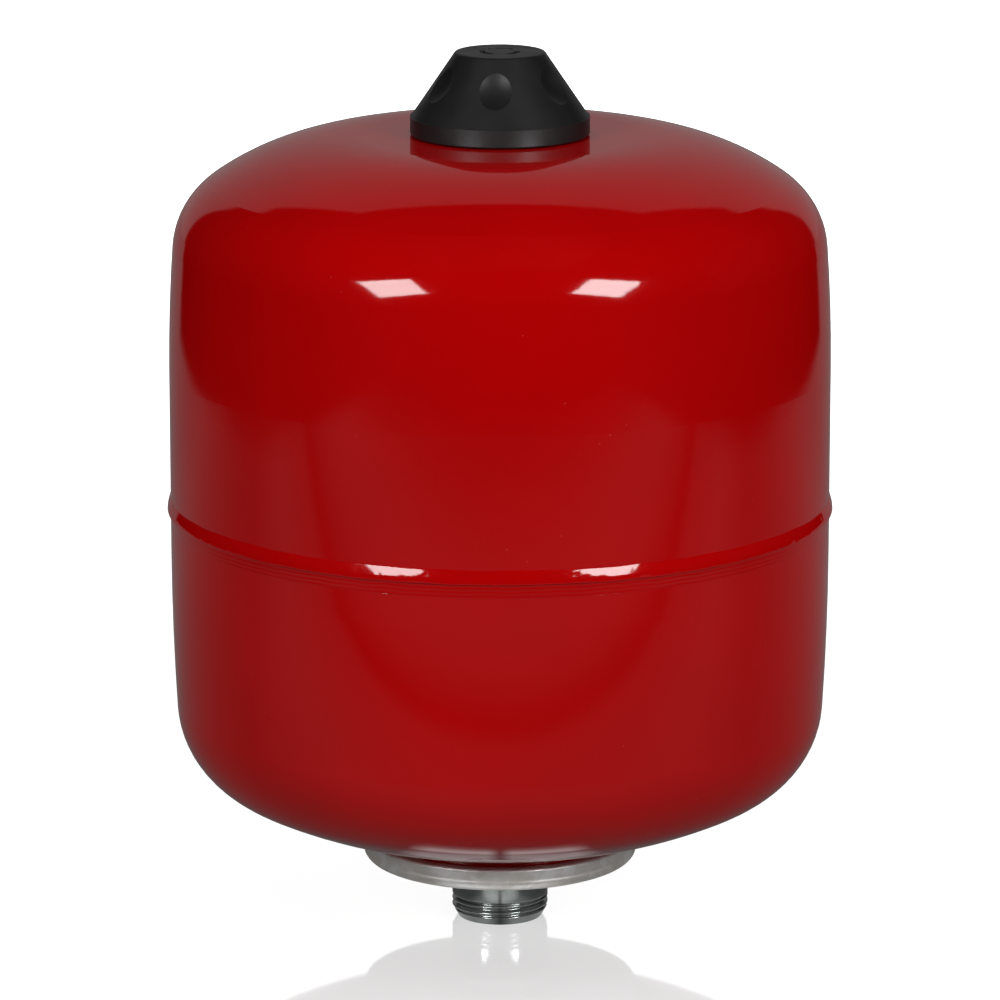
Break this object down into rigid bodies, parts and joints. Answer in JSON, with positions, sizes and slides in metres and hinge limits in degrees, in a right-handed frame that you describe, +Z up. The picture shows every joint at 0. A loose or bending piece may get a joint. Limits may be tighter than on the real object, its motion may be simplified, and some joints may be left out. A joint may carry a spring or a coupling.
{
  "type": "expansion vessel",
  "caption": "Small red steel bladder-type expansion vessel with a lap-welded waist, a black conical valve cap and a galvanised flange with a G 3/4 male nozzle.",
  "frame": {"origin": "centre of the nozzle's end face, which is also the bottom centre of the bounding box", "axes": "+Z up along the vessel's axis, from the nozzle to the air valve; +X to the right and -Y towards the viewer"},
  "size_m": [0.1818, 0.1818, 0.2421],
  "materials": {
    "red_paint": "gloss",
    "galvanised_steel": "satin",
    "zinc_steel": "satin",
    "black_plastic": "gloss",
    "valve_cap_plastic": "satin",
    "brass": "satin",
    "spring_steel": "gloss",
    "black_rubber": "matte",
    "grey_rubber": "matte"
  },
  "bodies": {
    "vessel": {"bladder": "black_rubber", "boss_weld": "red_paint", "core_barrel": "brass", "core_gasket": "grey_rubber", "core_spring": "spring_steel", "flange": "galvanised_steel", "lower_shell": "red_paint", "neck_ring": "red_paint", "neck_weld": "red_paint", "nozzle": "zinc_steel", "nozzle_weld": "galvanised_steel", "seam_weld": "red_paint", "upper_shell": "red_paint", "valve_body": "brass", "valve_boss": "zinc_steel", "valve_gasket": "grey_rubber"},
    "valve_pin": {"core_pin": "spring_steel", "core_cup": "brass", "core_seal": "grey_rubber"},
    "dust_cap_seal": {"dust_cap_seal": "grey_rubber"},
    "valve_dust_cap": {"valve_dust_cap": "valve_cap_plastic"},
    "cap_gasket": {"cap_gasket": "grey_rubber"},
    "protective_cap": {"protective_cap": "black_plastic"}
  },
  "joints": [
    {"name": "valve_pin_press", "type": "slide", "parent": "vessel", "child": "valve_pin", "axis": [0, 0, -1], "range_m": [0, 0.0012], "stiffness_N_per_m": 1500, "springref_m": -0.001, "deforming": ["core_spring"]},
    {"name": "dust_cap_lift", "type": "slide", "parent": "vessel", "child": "dust_cap_seal", "axis": [0, 0, 1], "range_m": [0, 0.00476]},
    {"name": "dust_cap_unscrew", "type": "hinge", "parent": "dust_cap_seal", "child": "valve_dust_cap", "pos_m": [0, 0, 0.233], "axis": [0, 0, 1], "range_deg": [0, 2160]},
    {"name": "cap_lift", "type": "slide", "parent": "vessel", "child": "cap_gasket", "axis": [0, 0, 1], "range_m": [0, 0.004]},
    {"name": "cap_unscrew", "type": "hinge", "parent": "cap_gasket", "child": "protective_cap", "pos_m": [0, 0, 0.2194], "axis": [0, 0, 1], "range_deg": [0, 720]}
  ],
  "couplings": [
    {"joint": "dust_cap_unscrew", "follows": "dust_cap_lift", "rad_per_m": 7913.3},
    {"joint": "cap_lift", "follows": "cap_unscrew", "m_per_rad": 0.00031831}
  ]
}
